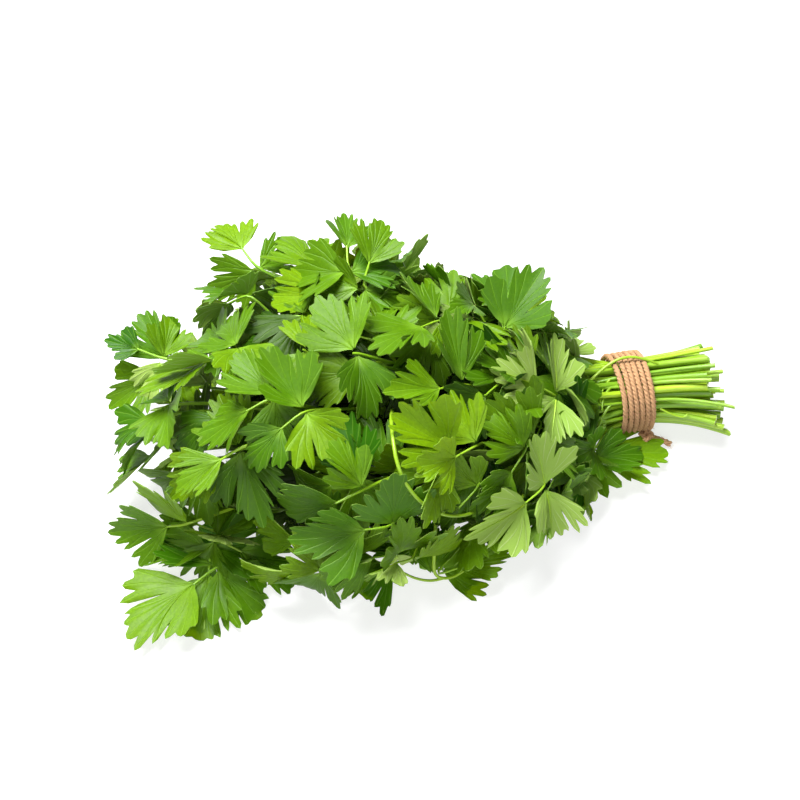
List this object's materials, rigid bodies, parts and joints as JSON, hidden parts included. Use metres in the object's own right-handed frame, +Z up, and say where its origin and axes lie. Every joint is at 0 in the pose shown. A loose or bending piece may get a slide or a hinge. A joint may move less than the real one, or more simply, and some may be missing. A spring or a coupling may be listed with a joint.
{
  "type": "parsley bunch",
  "caption": "Bunch of flat-leaf parsley lying on its side, its cut stems tied with jute twine and its leaves fanned out.",
  "frame": {"origin": "on the surface that the bunch lies on, under the middle of the tie", "axes": "+X along the stems to their cut ends, +Y to one side, +Z up from the surface"},
  "size_m": [0.304, 0.1965, 0.1098],
  "materials": {
    "leaf": "satin",
    "twine": "matte"
  },
  "bodies": {
    "root": {"twine_tie": "twine", "leafy_stem_01": "leaf", "leafy_stem_02": "leaf", "leafy_stem_03": "leaf", "leafy_stem_04": "leaf", "leafy_stem_05": "leaf", "leafy_stem_06": "leaf", "leafy_stem_07": "leaf", "leafy_stem_08": "leaf", "leafy_stem_09": "leaf", "leafy_stem_10": "leaf", "leafy_stem_11": "leaf", "leafy_stem_12": "leaf", "leafy_stem_13": "leaf", "leafy_stem_14": "leaf", "leafy_stem_15": "leaf", "leafy_stem_16": "leaf", "leafy_stem_17": "leaf", "leafy_stem_18": "leaf", "leafy_stem_19": "leaf", "leafy_stem_20": "leaf", "leafy_stem_21": "leaf", "leafy_stem_22": "leaf", "leafy_stem_23": "leaf", "leafy_stem_24": "leaf", "leafy_stem_25": "leaf", "leafy_stem_26": "leaf", "leafy_stem_27": "leaf", "leafy_stem_28": "leaf", "leafy_stem_29": "leaf", "leafy_stem_30": "leaf", "leafy_stem_31": "leaf", "leafy_stem_32": "leaf", "leafy_stem_33": "leaf", "leafy_stem_34": "leaf", "leafy_stem_35": "leaf", "leafy_stem_36": "leaf"}
  },
  "joints": []
}
